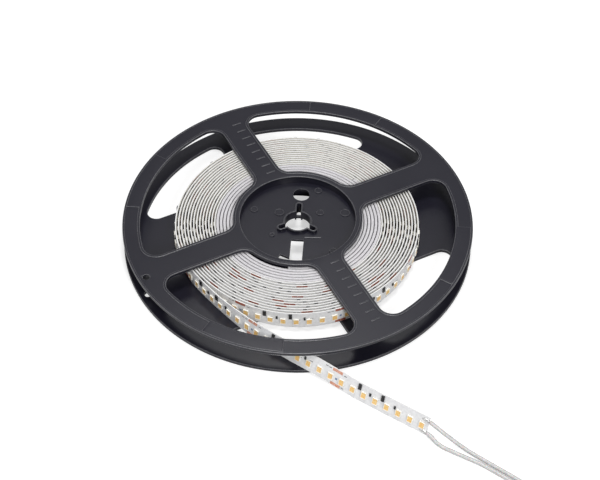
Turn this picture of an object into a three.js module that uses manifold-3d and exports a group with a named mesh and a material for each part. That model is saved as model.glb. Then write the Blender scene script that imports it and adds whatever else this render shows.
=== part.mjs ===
// A reel of LED strip light: two moulded flanges snapped together at a hub, a foam leader,
// the strip wound on it with its first three cut units pulled out, and the two feed leads.
// Millimetres, +Z up. The reel is modelled about its own axis, with the floor at z = 0.

import * as THREE from 'three';
import * as BufferGeometryUtils from 'three/addons/utils/BufferGeometryUtils.js';
import Module from 'manifold-3d';

const wasm = await Module();
wasm.setup();

// Reel: overall sizes
const flangeRadius = 90;
const reelHeight = 15;
const flangeSheet = 1.6;
const reliefHeight = 0.4; // how far beads, pads and hub rings stand off a flange's sheet
const halfGap = 0.3; // between the two halves where they meet at the hub
const hubBoreRadius = 29.8;
const hubWall = 1.9;

// Reel: windows of the upper flange, between four narrow spokes
const windowOuterRadius = 81;
const windowInnerRadius = 33.4;
const spokeHalfWidth = 7.6;
const windowOuterFillet = 7;
const windowInnerFillet = 7.5;
const beadWidth = 1.5;
const spokeAngle = 27.6; // the first of the four spokes

// Reel: windows of the lower flange, outside one broad band
const bandHalfWidth = 43;
const lowerSpokeHalfWidth = 8;
const lowerFillet = 5;

// Reel: rim details of the upper flange
const rimLip = 1.1;
const rimLipHeight = 0.25;
const padSpan = 26.8; // degrees
const padMargin = 0.9; // from a pad to the rim's lip
const anchorHoleRadius = 1.8;
const anchorHoleAt = 85.7;
const anchorHoleAngle = 209.5;

// Reel: the ruler on two of the spokes
const tickLength = 4.8;
const tickWidth = 0.7;
const tickHeight = 0.25;
const tickPitch = 6;
const tickStart = 36;
const tickCount = 8;

// Reel: the web across the hub and what is in it
const webTop = 10.1;
const webThickness = 1.4;
const arborRadius = 6.6;
const collarWall = 0.8;
const collarHeight = 2; // above the web
const arborDepth = 3.1; // from the web's top down to the foot of the arbor's tube
const keySlotWidth = 2.4;
const keyDepth = 5.1; // from the web's top down to the foot of the key slots' pockets
const keyBridge = 1.7; // height of the arbor's wall that closes each pocket's foot
const keySlots = [[86.5, 12.8], [206.5, 10.9], [326.5, 10.9]]; // angle, reach
const sightHole = { x: 1.8, y: 20.9, radius: 4.3 };
const tailSlot = { left: -2.55, right: 3.85, near: -28, far: -11.6, turn: -3.5 };
const tailWedge = [[-7.5, -22.2], [-9.3, -26.6], [-2.5, -28], [-2.5, -24.5]]; // beside the slot's near end
const bossHeight = 0.5;
const bosses = [
  [-9.6, 7.6, 2.5], [-22.8, 9.6, 2], [11.6, 7.6, 2], [24.6, 7.6, 2.6], [10.6, 23.8, 2],
  [-13.1, -8.5, 1.4], [18.2, -19.5, 2],
]; // x, y, radius
const webRib = { left: 3.7, right: 11.9, at: -10.7, width: 0.8 };

// Reel: the snap joint between the halves
const spigotHeight = 1.2;
const spigotWall = 0.8;
const spigotClearance = 0.3;

// Strip: the board, and what is soldered to it
const stripWidth = 10;
const stripThickness = 0.4;
const stripLength = 4600;
const ledAlong = 2.8;
const ledAcross = 3.5;
const ledHeight = 0.7;
const ledLine = 4.4; // from the board's lower edge
const ledPitch = 6.25;
const unitLeds = 8; // in a cut unit
const unitLength = ledPitch * unitLeds;
const bigResistor = { along: 1.6, across: 3.2, height: 0.6, offset: 3.35, at: [12.9, 25.4] };
const smallResistor = { along: 0.9, across: 1.6, height: 0.5, offset: 2, at: [18.8, 32.2] };
const partGap = 0.2; // between a soldered part and the board

// Strip: the winding
const turnSlack = 0.45;
const spliceShift = 5.6; // of the units past the free ones, which are joined on by a splice
const swell = 1.3; // outwards, of the outer turn where the roll lies loosest
const swellAngle = 268;
const swellHalfSpan = 51.4;
const stripClearance = 0.3; // from the lower flange to the strip's lower edge
const turnSteps = 27;

// How finely arcs are cut
const rimSides = 72;
const hubSides = 48;
const arborSides = 24;
const smallSides = 12;
const windowArcSteps = 16;
const filletSteps = 6;

// Strip: the free end, which leaves the roll between the flanges and stands on its edge on the floor
const leaveAngle = 216.6;
const freeUnits = 3;
const tuckedLength = 7.6; // of the free units, the length still on the roll
const straightHeading = 330.5;
const easeLength = 57.4;
const lean = 17;
const leanStart = 15;
const leanEnd = 66;
const floorClearance = 0.3;
const dropLength = 22;
const bow = 1.1; // outwards, of the run between the flanges
const bowStart = 10;
const bowLength = 85;
const freeStep = 3.6;

// Leader: the plain foam band under the strip
const leaderThickness = 1.45;
const leaderSlack = 0.35;
const leaderClearance = 0.35;
const leaderTurns = 5.4;

// Leads
const leadDiameter = 1.9;
const leadSides = 8;
const upperLeadRoute = [
  [61.8, -124.2, 8.5], [64.2, -125.6, 7.3], [67.4, -127.5, 5.6], [71.5, -129.9, 3.7], [76.1, -132.8, 2.0],
  [80, -135.5, 1.2], [84.6, -138.7, 1], [90.6, -143, 1], [97.6, -148, 1], [106.1, -154.1, 1],
];
const lowerLeadRoute = [
  [60.8, -125.8, 2.1], [62.6, -127.6, 1.7], [64.5, -129.9, 1.25], [67.1, -132.3, 1], [72.2, -135.3, 1],
  [79.5, -139.2, 1], [85, -142.2, 1], [89.3, -145.1, 1], [96.3, -150.1, 1], [103, -154.9, 1],
];
const coilCentre = [105.7, -167.2];
const coilMiddleRadius = 9.75;
const coilWidth = 4.7;
const coilHeight = 4.1;
const coilClearance = 0.05; // from the floor
const coilSides = 32;
const solderLength = 3.2;
const solderWidth = 2;
const solderHeight = 0.9;
const solderInset = 1.7; // from the strip's edge
const solderGap = 0.2;

const moulding = new THREE.MeshStandardMaterial({ color: '#303036', roughness: 0.45, metalness: 0 });
const board = new THREE.MeshStandardMaterial({ color: '#e6e4df', roughness: 0.6, metalness: 0 });
const foam = new THREE.MeshStandardMaterial({ color: '#dedbe4', roughness: 0.8, metalness: 0 });
const phosphor = new THREE.MeshStandardMaterial({ color: '#f0b95a', roughness: 0.4, metalness: 0 });
const ceramic = new THREE.MeshStandardMaterial({ color: '#1b1a1c', roughness: 0.5, metalness: 0 });
const solder = new THREE.MeshStandardMaterial({ color: '#c9c9c7', roughness: 0.3, metalness: 0.9 });
const sleeve = new THREE.MeshStandardMaterial({ color: '#e9e7e4', roughness: 0.35, metalness: 0 });

const rad = THREE.MathUtils.degToRad;

// Booleans

function toSolid(geometry) {
  const g = geometry.index ? geometry.toNonIndexed() : geometry.clone();
  g.deleteAttribute('normal');
  g.deleteAttribute('uv');
  const merged = BufferGeometryUtils.mergeVertices(g, 1e-4);
  return new wasm.Manifold(new wasm.Mesh({
    numProp: 3,
    vertProperties: new Float32Array(merged.attributes.position.array),
    triVerts: new Uint32Array(merged.index.array),
  }));
}

function toGeometry(manifold) {
  const { vertProperties, triVerts } = manifold.getMesh();
  const g = new THREE.BufferGeometry();
  g.setAttribute('position', new THREE.BufferAttribute(vertProperties, 3));
  g.setIndex(new THREE.BufferAttribute(triVerts, 1));
  g.computeVertexNormals();
  return g;
}

// Flat shapes

function prism(shape, bottom, top) {
  const g = new THREE.ExtrudeGeometry(shape, { depth: top - bottom, bevelEnabled: false });
  return toSolid(g.translate(0, 0, bottom));
}

// Points of an arc about (x, y), from one angle in radians to another, either way round
function arc(x, y, radius, from, to, steps) {
  return new THREE.EllipseCurve(x, y, radius, radius, from, to, to < from).getPoints(steps);
}

function disc(radius, sides, x = 0, y = 0) {
  return new THREE.Shape(arc(x, y, radius, 0, 2 * Math.PI, sides).slice(1));
}

function tube(outer, inner, bottom, top, sides) {
  const shape = disc(outer, sides);
  shape.holes.push(disc(inner, sides));
  return prism(shape, bottom, top);
}

function rectangle(left, right, near, far) {
  return new THREE.Shape([
    new THREE.Vector2(left, near), new THREE.Vector2(right, near),
    new THREE.Vector2(right, far), new THREE.Vector2(left, far),
  ]);
}

// A slot with a round end, from the axis out to its reach along an angle
function keySlot(angle, reach, halfWidth) {
  const a = rad(angle);
  const c = new THREE.Vector2(Math.cos(a), Math.sin(a)).multiplyScalar(reach - keySlotWidth / 2);
  const side = new THREE.Vector2(-Math.sin(a), Math.cos(a)).multiplyScalar(halfWidth);
  const end = arc(c.x, c.y, halfWidth, a - Math.PI / 2, a + Math.PI / 2, 6);
  return new THREE.Shape([side, side.clone().negate(), ...end]);
}

// One window of the upper flange, between the spoke at an angle and the next; grow sets its edges outwards
function upperWindow(angle, grow = 0) {
  const outer = windowOuterRadius + grow;
  const inner = windowInnerRadius - grow;
  const side = spokeHalfWidth - grow;
  const co = windowOuterFillet + grow;
  const ci = windowInnerFillet + grow;
  const spoke = rad(angle);
  const next = spoke + Math.PI / 2;
  const ao = Math.asin((side + co) / (outer - co));
  const ai = Math.asin((side + ci) / (inner + ci));
  const corner = (a, r) => [r * Math.cos(a), r * Math.sin(a)];
  return new THREE.Shape([
    ...arc(0, 0, outer, spoke + ao, next - ao, windowArcSteps),
    ...arc(...corner(next - ao, outer - co), co, next - ao, spoke + Math.PI, filletSteps).slice(1),
    ...arc(...corner(next - ai, inner + ci), ci, spoke + Math.PI, next - ai + Math.PI, filletSteps),
    ...arc(0, 0, inner, next - ai, spoke + ai, filletSteps).slice(1),
    ...arc(...corner(spoke + ai, inner + ci), ci, spoke + ai + Math.PI, next + Math.PI, filletSteps).slice(1),
    ...arc(...corner(spoke + ao, outer - co), co, spoke - Math.PI / 2, spoke + ao, filletSteps).slice(0, -1),
  ]);
}

// One window of the lower flange: the signs place it in one of the four quarters about the band's axis
function lowerWindow(alongSign, acrossSign, grow = 0) {
  const outer = windowOuterRadius + grow;
  const side = lowerSpokeHalfWidth - grow;
  const edge = bandHalfWidth - grow;
  const c = lowerFillet + grow;
  const reach = outer - c;
  const tip = Math.asin((edge + c) / reach);
  const top = Math.acos((side + c) / reach);
  const quarter = [
    ...arc(side + c, edge + c, c, Math.PI, 1.5 * Math.PI, filletSteps),
    ...arc(reach * Math.cos(tip), edge + c, c, -Math.PI / 2, tip, filletSteps),
    ...arc(0, 0, outer, tip, top, windowArcSteps / 2).slice(1),
    ...arc(side + c, reach * Math.sin(top), c, top, Math.PI, filletSteps).slice(1),
  ];
  const turn = rad(spokeAngle);
  const points = quarter.map((p) => (
    new THREE.Vector2(p.x * alongSign, p.y * acrossSign).rotateAround(new THREE.Vector2(), turn)
  ));
  return new THREE.Shape(alongSign * acrossSign > 0 ? points : points.reverse());
}

// Reel halves

const lowerInside = reliefHeight + flangeSheet;
const upperInside = reelHeight - reliefHeight - flangeSheet;
const upperSheetTop = reelHeight - reliefHeight;
const middle = reelHeight / 2;
const hubOuterRadius = hubBoreRadius + hubWall;

// The flange's sheet with its windows, and the raised bead round each of them
function flange(windows, beads, sheetBottom, sheetTop, beadBottom, beadTop) {
  const sheet = disc(flangeRadius, rimSides);
  sheet.holes.push(disc(hubBoreRadius, hubSides));
  let solid = prism(sheet, sheetBottom, sheetTop);
  for (const bead of beads) solid = solid.add(prism(bead, beadBottom, beadTop));
  for (const hole of windows) solid = solid.subtract(prism(hole, beadBottom - 2, beadTop + 2));
  return solid;
}

function anchorHole(solid, bottom, top) {
  const a = rad(anchorHoleAngle);
  const hole = disc(anchorHoleRadius, smallSides, anchorHoleAt * Math.cos(a), anchorHoleAt * Math.sin(a));
  return solid.subtract(prism(hole, bottom, top));
}

// The four pads on the rim, flush with the beads, opposite the middle of each window
function rimPads() {
  const pads = [];
  for (let i = 0; i < 4; i += 1) {
    const centre = rad(spokeAngle + 45 + 90 * i);
    const half = rad(padSpan / 2);
    const outer = flangeRadius - rimLip - padMargin;
    const pad = new THREE.Shape([
      ...arc(0, 0, outer, centre - half, centre + half, filletSteps),
      ...arc(0, 0, windowOuterRadius + beadWidth / 2, centre + half, centre - half, filletSteps),
    ]);
    pads.push(prism(pad, upperSheetTop - reliefHeight, reelHeight));
  }
  return pads;
}

// Ruler marks from a spoke's middle line to one side of it
function rulerTicks() {
  const ticks = [];
  for (const [angle, side] of [[spokeAngle + 90, -1], [spokeAngle + 270, 1]]) {
    for (let i = 0; i < tickCount; i += 1) {
      const at = tickStart + i * tickPitch;
      const g = new THREE.BoxGeometry(tickWidth, tickLength, tickHeight + reliefHeight);
      g.translate(at, side * tickLength / 2, upperSheetTop + (tickHeight - reliefHeight) / 2);
      ticks.push(toSolid(g.rotateZ(rad(angle))));
    }
  }
  return ticks;
}

// The web closes the hub cup: key slotted arbor hole with its collar, sight holes, tail slot and bosses
function web() {
  const bottom = webTop - webThickness;
  const collarTop = webTop + collarHeight;
  const arborFoot = webTop - arborDepth;
  const keyFoot = webTop - keyDepth;
  let solid = prism(disc(hubBoreRadius + hubWall / 2, hubSides), bottom, webTop);
  solid = solid.add(prism(disc(arborRadius + collarWall, arborSides), arborFoot, collarTop));
  for (const [angle, reach] of keySlots) {
    solid = solid.add(prism(keySlot(angle, reach, keySlotWidth / 2 + collarWall), keyFoot, collarTop));
  }
  for (const [x, y, r] of bosses) {
    solid = solid.add(prism(disc(r, smallSides, x, y), webTop - bossHeight, webTop + bossHeight));
  }
  const rib = rectangle(webRib.left, webRib.right, webRib.at, webRib.at + webRib.width);
  solid = solid.add(prism(rib, webTop - bossHeight, webTop + bossHeight));
  for (const [angle, reach] of keySlots) {
    solid = solid.subtract(prism(keySlot(angle, reach, keySlotWidth / 2), keyFoot - 1, collarTop + 1));
  }
  solid = solid.add(tube(arborRadius + collarWall, arborRadius, arborFoot, arborFoot + keyBridge, arborSides));
  solid = solid.subtract(prism(disc(arborRadius, arborSides), keyFoot - 1, collarTop + 1));
  const sight = disc(sightHole.radius, smallSides, sightHole.x, sightHole.y);
  const slot = rectangle(tailSlot.left, tailSlot.right, tailSlot.near, tailSlot.far);
  const wedge = new THREE.Shape(tailWedge.map((p) => new THREE.Vector2(...p)));
  const cut = prism(slot, bottom - 1, webTop + 1).add(prism(wedge, bottom - 1, webTop + 1));
  return solid.subtract(prism(sight, bottom - 1, webTop + 1)).subtract(cut.rotate([0, 0, tailSlot.turn]));
}

function upperHalf() {
  const angles = [0, 1, 2, 3].map((i) => spokeAngle + 90 * i);
  const windows = angles.map((a) => upperWindow(a));
  const beads = angles.map((a) => upperWindow(a, beadWidth));
  let solid = flange(windows, beads, upperInside, upperSheetTop, upperSheetTop - reliefHeight, reelHeight);
  const lipTop = upperSheetTop + rimLipHeight;
  solid = solid.add(tube(flangeRadius, flangeRadius - rimLip, upperInside, lipTop, rimSides));
  for (const part of [...rimPads(), ...rulerTicks()]) solid = solid.add(part);
  solid = solid.add(tube(hubOuterRadius, hubBoreRadius, middle + halfGap / 2, upperSheetTop, hubSides));
  const rebate = hubBoreRadius + spigotWall + spigotClearance;
  const rebateTop = middle + spigotHeight + spigotClearance;
  solid = solid.subtract(tube(rebate, hubBoreRadius - 1, middle - 1, rebateTop, hubSides));
  return anchorHole(solid.add(web()), upperInside - 1, reelHeight + 1);
}

function lowerHalf() {
  const quarters = [[1, 1], [-1, 1], [-1, -1], [1, -1]];
  const windows = quarters.map(([u, v]) => lowerWindow(u, v));
  const beads = quarters.map(([u, v]) => lowerWindow(u, v, beadWidth));
  let solid = flange(windows, beads, reliefHeight, lowerInside, 0, 2 * reliefHeight);
  solid = solid.add(tube(flangeRadius, flangeRadius - rimLip, 0, lowerInside, rimSides));
  solid = solid.add(tube(hubOuterRadius, hubBoreRadius, 0, middle - halfGap / 2, hubSides));
  const spigotTop = middle + spigotHeight;
  solid = solid.add(tube(hubBoreRadius + spigotWall, hubBoreRadius, middle - 1, spigotTop, hubSides));
  return anchorHole(solid, -1, lowerInside + 1);
}

// Wound bands

const wrapBase = lowerInside + stripClearance;
const turnPitch = stripThickness + ledHeight + turnSlack;
const freeLength = freeUnits * unitLength - tuckedLength;
const woundLength = stripLength - freeLength;
const leaderPitch = leaderThickness + leaderSlack;
const leaderInnerRadius = hubOuterRadius + leaderClearance + leaderThickness / 2;
const leaderOuterRadius = leaderInnerRadius + leaderTurns * leaderPitch;
const overLeader = (leaderThickness + stripThickness) / 2 + leaderClearance;
const rollInnerRadius = leaderOuterRadius + overLeader - turnPitch;
const rollOuterRadius = Math.sqrt(rollInnerRadius ** 2 + woundLength * turnPitch / Math.PI);
const rollTurns = (rollOuterRadius - rollInnerRadius) / turnPitch;
const step = 360 / turnSteps;

// The turns lie looser at the front of the roll, and the outer ones bulge there
function loosened(r, angle) {
  const off = Math.abs(THREE.MathUtils.euclideanModulo(angle - swellAngle + 180, 360) - 180);
  const share = Math.max(0, (r - rollInnerRadius) / (rollOuterRadius - rollInnerRadius));
  return off < swellHalfSpan ? r + swell * share * Math.cos(rad(90 * off / swellHalfSpan)) ** 2 : r;
}

// A band's frames along a spiral that ends at an angle; steps fall on the same angles in every turn
function spiralFrames(innerRadius, outerRadius, pitch, endAngle) {
  const turns = (outerRadius - innerRadius) / pitch;
  const start = endAngle - 360 * turns;
  const angles = [start];
  for (let k = Math.ceil(start / step + 0.1); k * step < endAngle - 0.1 * step; k += 1) angles.push(k * step);
  angles.push(endAngle);
  return angles.map((angle) => {
    const a = rad(angle);
    const r = loosened(outerRadius - pitch * (endAngle - angle) / 360, angle);
    return {
      base: new THREE.Vector3(r * Math.cos(a), r * Math.sin(a), wrapBase),
      across: new THREE.Vector3(0, 0, 1),
      face: new THREE.Vector3(Math.cos(a), Math.sin(a), 0),
    };
  });
}

// The free end's centre line bends from the roll's tangent to a straight run, and its frame leans back
function freeFrame(distance) {
  const startHeading = leaveAngle + 90;
  const headingAt = (s) => rad(straightHeading + (startHeading - straightHeading) * Math.exp(-s / easeLength));
  const base = new THREE.Vector3(Math.cos(rad(leaveAngle)), Math.sin(rad(leaveAngle)), 0);
  base.multiplyScalar(rollOuterRadius);
  const count = Math.max(1, Math.ceil(Math.abs(distance)));
  for (let i = 0; i < count; i += 1) {
    const h = headingAt((i + 0.5) * distance / count);
    base.x += Math.cos(h) * distance / count;
    base.y += Math.sin(h) * distance / count;
  }
  const dropStart = flangeRadius - 1;
  const drop = THREE.MathUtils.smoothstep(base.length(), dropStart, dropStart + dropLength);
  base.z = THREE.MathUtils.lerp(wrapBase, floorClearance, drop);
  const tilt = rad(lean) * THREE.MathUtils.smoothstep(distance, leanStart, leanEnd);
  const heading = headingAt(distance);
  const along = new THREE.Vector3(Math.cos(heading), Math.sin(heading), 0);
  const left = new THREE.Vector3(-along.y, along.x, 0);
  const bowed = THREE.MathUtils.clamp((distance - bowStart) / bowLength, 0, 1);
  base.addScaledVector(left, -bow * Math.sin(Math.PI * bowed) ** 2);
  const across = new THREE.Vector3(0, 0, Math.cos(tilt)).addScaledVector(left, Math.sin(tilt));
  return { base, across, face: new THREE.Vector3().crossVectors(along, across) };
}

// A band of rectangular section lofted through its frames
function band(frames, width, thickness) {
  const positions = [];
  for (const { base, across, face } of frames) {
    for (const [w, t] of [[0, -0.5], [0, 0.5], [1, 0.5], [1, -0.5]]) {
      const p = base.clone().addScaledVector(across, w * width).addScaledVector(face, t * thickness);
      positions.push(p.x, p.y, p.z);
    }
  }
  const index = [0, 1, 2, 0, 2, 3];
  for (let k = 0; k + 1 < frames.length; k += 1) {
    for (let i = 0; i < 4; i += 1) {
      const [a, b] = [4 * k + i, 4 * k + (i + 1) % 4];
      index.push(a, a + 4, b + 4, a, b + 4, b);
    }
  }
  const last = 4 * (frames.length - 1);
  index.push(last, last + 2, last + 1, last, last + 3, last + 2);
  const g = new THREE.BufferGeometry();
  g.setAttribute('position', new THREE.Float32BufferAttribute(positions, 3));
  g.setIndex(index);
  return g;
}

function wound() {
  return spiralFrames(rollInnerRadius, rollOuterRadius, turnPitch, leaveAngle);
}

function freeEnd() {
  const count = Math.ceil(freeLength / freeStep);
  return Array.from({ length: count }, (_, i) => freeFrame((i + 1) * freeLength / count));
}

// The strip's own frame at a distance from its outer end: on the roll's last turn or on the free end
function stripFrame(fromEnd) {
  if (fromEnd <= freeLength) return freeFrame(freeLength - fromEnd);
  const even = Math.sqrt(rollOuterRadius ** 2 - turnPitch * (fromEnd - freeLength) / Math.PI);
  const angle = leaveAngle - 360 * (rollOuterRadius - even) / turnPitch;
  const a = rad(angle);
  const offMiddle = rad(THREE.MathUtils.euclideanModulo(angle, step) - step / 2);
  const r = loosened(even, angle) * Math.cos(rad(step / 2)) / Math.cos(offMiddle); // on the board's flat
  return {
    base: new THREE.Vector3(r * Math.cos(a), r * Math.sin(a), wrapBase),
    across: new THREE.Vector3(0, 0, 1),
    face: new THREE.Vector3(Math.cos(a), Math.sin(a), 0),
  };
}

// Places a geometry modelled with X along the strip, Y across it and Z off its face
function onStrip(geometry, fromEnd, across, off) {
  const f = stripFrame(fromEnd);
  const along = new THREE.Vector3().crossVectors(f.across, f.face);
  const at = f.base.clone().addScaledVector(f.across, across).addScaledVector(f.face, off);
  const m = new THREE.Matrix4().makeBasis(along, f.across, f.face).setPosition(at);
  return geometry.clone().applyMatrix4(m);
}

// Parts soldered to the strip

function block(along, across, height, fillet) {
  const [x, y] = [along / 2, across / 2];
  const outline = new THREE.Shape([
    new THREE.Vector2(-x, -y), new THREE.Vector2(x, -y), new THREE.Vector2(x, y - fillet),
    new THREE.Vector2(x - fillet, y), new THREE.Vector2(-x, y),
  ]);
  return new THREE.ExtrudeGeometry(outline, { depth: height, bevelEnabled: false });
}

const ledBody = block(ledAlong, ledAcross, ledHeight, 0.5);
const resistorBody = (r) => new THREE.BoxGeometry(r.along, r.across, r.height).translate(0, 0, r.height / 2);
const padBlob = new THREE.CylinderGeometry(solderWidth * 0.35, solderWidth / 2, solderHeight, 10)
  .scale(solderLength / solderWidth, 1, 1).rotateX(Math.PI / 2).translate(0, 0, solderHeight / 2);

const partSeat = stripThickness / 2 + partGap;
const ledsFromEnd = (unit) => Array.from({ length: unitLeds }, (_, i) => unit * unitLength + (i + 0.5) * ledPitch);
const resistorsFromEnd = (unit, r) => r.at.map((at) => (unit + 1) * unitLength - at);

// Past the free units, the LEDs of the last turn on the roll are made with the board
function rollLeds() {
  const lastTurn = freeLength + 2 * Math.PI * (rollOuterRadius - turnPitch) - ledPitch - spliceShift;
  const sunk = 0.45 * stripThickness;
  const top = stripThickness / 2 + ledHeight;
  const body = new THREE.BoxGeometry(ledAlong, ledAcross, top + sunk).translate(0, 0, (top - sunk) / 2);
  const leds = [];
  for (let unit = freeUnits; unit * unitLength < lastTurn; unit += 1) {
    for (const at of ledsFromEnd(unit)) {
      if (at < lastTurn) leds.push(toSolid(onStrip(body, at + spliceShift, ledLine, 0)));
    }
  }
  return leds;
}

function strip() {
  let solid = toSolid(band([...wound(), ...freeEnd()], stripWidth, stripThickness));
  for (const part of rollLeds()) solid = solid.add(part);
  return solid;
}

function leader() {
  const stripStart = leaveAngle - 360 * rollTurns;
  const end = stripStart - THREE.MathUtils.radToDeg(leaderClearance / rollInnerRadius);
  const frames = spiralFrames(leaderInnerRadius, leaderOuterRadius, leaderPitch, end);
  return toSolid(band(frames, stripWidth, leaderThickness));
}

// The assembly

const reel = new THREE.Group();
const leads = new THREE.Group();

function node(name, geometry, material, group = reel) {
  const mesh = new THREE.Mesh(geometry, material);
  mesh.name = name;
  group.add(mesh);
}

node('reel_half_upper', toGeometry(upperHalf()), moulding);
node('reel_half_lower', toGeometry(lowerHalf()), moulding);
node('led_strip', toGeometry(strip()), board);
node('leader_band', toGeometry(leader()), foam);

let led = 0;
let resistor = 0;
for (let unit = 0; unit < freeUnits; unit += 1) {
  for (const at of ledsFromEnd(unit)) {
    led += 1;
    node(`led_${led}`, onStrip(ledBody, at, ledLine, partSeat), phosphor);
  }
  for (const kind of [bigResistor, smallResistor]) {
    for (const at of resistorsFromEnd(unit, kind)) {
      resistor += 1;
      node(`resistor_${resistor}`, onStrip(resistorBody(kind), at, ledLine + kind.offset, partSeat), ceramic);
    }
  }
}

const solderSeat = stripThickness / 2 + solderGap;
node('solder_joint_upper', onStrip(padBlob, solderLength / 2, stripWidth - solderInset, solderSeat), solder);
node('solder_joint_lower', onStrip(padBlob, solderLength / 2, solderInset, solderSeat), solder);

// The leads: a tube along each route to the edge of the coil that both are wound into
function lead(route) {
  const curve = new THREE.CatmullRomCurve3(route.map((p) => new THREE.Vector3(...p)));
  const section = disc(leadDiameter / 2, leadSides);
  const steps = Math.round(curve.getLength() / (2.5 * leadDiameter));
  return new THREE.ExtrudeGeometry(section, { steps, extrudePath: curve, bevelEnabled: false });
}

function leadCoil() {
  const [inner, outer] = [coilMiddleRadius - coilWidth / 2, coilMiddleRadius + coilWidth / 2];
  const section = [[inner, 0], [outer, 0], [outer, coilHeight], [inner, coilHeight], [inner, 0]];
  const ring = new THREE.LatheGeometry(section.map((p) => new THREE.Vector2(...p)), coilSides);
  return ring.rotateX(Math.PI / 2).translate(coilCentre[0], coilCentre[1], coilClearance);
}

node('lead_upper', lead(upperLeadRoute), sleeve, leads);
node('lead_lower', lead(lowerLeadRoute), sleeve, leads);
node('lead_coil', leadCoil(), sleeve, leads);

// The origin is on the floor, under the middle of everything but the leads
const middlePoint = new THREE.Box3().setFromObject(reel).getCenter(new THREE.Vector3());
const product = new THREE.Group();
product.add(reel, leads);
product.position.set(-middlePoint.x, -middlePoint.y, 0);

export default product;
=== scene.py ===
import math

import bmesh
import bpy
from mathutils import Matrix, Vector


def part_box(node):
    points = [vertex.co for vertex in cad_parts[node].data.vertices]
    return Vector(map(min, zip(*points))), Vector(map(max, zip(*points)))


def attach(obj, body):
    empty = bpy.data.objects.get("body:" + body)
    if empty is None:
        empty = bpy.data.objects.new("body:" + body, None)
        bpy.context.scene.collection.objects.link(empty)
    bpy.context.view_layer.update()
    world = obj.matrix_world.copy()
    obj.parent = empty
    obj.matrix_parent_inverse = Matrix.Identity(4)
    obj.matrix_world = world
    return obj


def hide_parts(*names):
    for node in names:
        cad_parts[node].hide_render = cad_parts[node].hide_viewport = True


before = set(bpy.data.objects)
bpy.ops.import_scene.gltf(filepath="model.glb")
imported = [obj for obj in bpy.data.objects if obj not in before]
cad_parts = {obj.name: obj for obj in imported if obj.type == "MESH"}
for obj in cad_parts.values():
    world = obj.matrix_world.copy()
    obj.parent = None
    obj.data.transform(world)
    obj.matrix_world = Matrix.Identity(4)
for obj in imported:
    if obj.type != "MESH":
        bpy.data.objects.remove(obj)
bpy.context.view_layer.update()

# Camera, looking down at the reel from in front.
# The reel is drawn in millimetres about its own axis, and to_row carries that drawing to its place.
reel_low, reel_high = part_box("reel_half_upper")
reel_axis = Vector(((reel_low[0] + reel_high[0]) / 2, (reel_low[1] + reel_high[1]) / 2, 0))
to_row = Matrix.Translation(reel_axis) @ Matrix.Scale(0.001, 4)

eye = to_row @ Vector((1.27, -520.6, 553.5))
aim = to_row @ Vector((1.27, -9.03, 7.08))
camera = bpy.data.objects.new("camera", bpy.data.cameras.new("camera"))
camera.data.lens = 87.34
camera.data.sensor_width = 36
camera.data.clip_start = 0.01
camera.matrix_world = (
    Matrix.Translation(eye)
    @ (aim - eye).to_track_quat("-Z", "Y").to_matrix().to_4x4()
    @ Matrix.Rotation(math.radians(0.54), 4, "Z")
)
bpy.context.collection.objects.link(camera)
bpy.context.scene.camera = camera
bpy.context.scene.view_settings.view_transform = "Standard"


# Feed leads: two limp wires with a white PVC sleeve, soldered to the strip's end.
# Each is 150 mm long. They run along the floor and end in a small loose coil, with tinned ends.
lead_diameter = 1.9
lead_on_floor = 1
coil_lift = 2
coil_centre = Vector((105.7, -167.2, 0))
coil_steps_per_turn = 24
tip_length = 3.4
tip_radius = 0.42
tip_end_radius = 0.36
tip_reach = 1.4


def coiled_route(points, radius, turns, climb):
    """The points, then a loose coil that has risen onto itself after a share of a turn, climb."""
    route = [Vector(p) for p in points]
    start = math.atan2(route[-1].y - coil_centre.y, route[-1].x - coil_centre.x)
    count = round(turns * coil_steps_per_turn)
    for k in range(1, count + 1):
        turned = turns * k / count
        angle = start - 2 * math.pi * turned
        height = lead_on_floor + coil_lift * min(1, turned / climb)
        route.append(coil_centre + Vector((radius * math.cos(angle), radius * math.sin(angle), height)))
    return route


def shader(name, colour, roughness, **inputs):
    """A plain finish; the pattern on it is wired in by the section that owns it."""
    material = bpy.data.materials.new(name)
    material.use_nodes = True
    bsdf = material.node_tree.nodes["Principled BSDF"]
    bsdf.inputs["Base Color"].default_value = (*colour, 1)
    bsdf.inputs["Roughness"].default_value = roughness
    for key, value in inputs.items():
        bsdf.inputs[key.replace("_", " ")].default_value = value
    return material, material.node_tree, bsdf


def grain(tree, bsdf, scale, distance, strength=0.5, detail=3):
    """A fine bump from noise on the piece's own coordinates."""
    coordinates = tree.nodes.new("ShaderNodeTexCoord")
    noise = tree.nodes.new("ShaderNodeTexNoise")
    noise.inputs["Scale"].default_value = scale
    noise.inputs["Detail"].default_value = detail
    bump = tree.nodes.new("ShaderNodeBump")
    bump.inputs["Distance"].default_value = distance
    bump.inputs["Strength"].default_value = strength
    tree.links.new(coordinates.outputs["Object"], noise.inputs["Vector"])
    tree.links.new(noise.outputs["Fac"], bump.inputs["Height"])
    tree.links.new(bump.outputs["Normal"], bsdf.inputs["Normal"])
    return noise


def tint(tree, bsdf, noise, low, high, socket="Base Color", start=0.35, stop=0.65):
    """Varies a colour, or another socket, between two values with a noise."""
    ramp = tree.nodes.new("ShaderNodeValToRGB")
    ramp.color_ramp.elements[0].position = start
    ramp.color_ramp.elements[1].position = stop
    ramp.color_ramp.elements[0].color = (*low, 1)
    ramp.color_ramp.elements[1].color = (*high, 1)
    tree.links.new(noise.outputs["Fac"], ramp.inputs["Fac"])
    tree.links.new(ramp.outputs["Color"], bsdf.inputs[socket])


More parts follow.
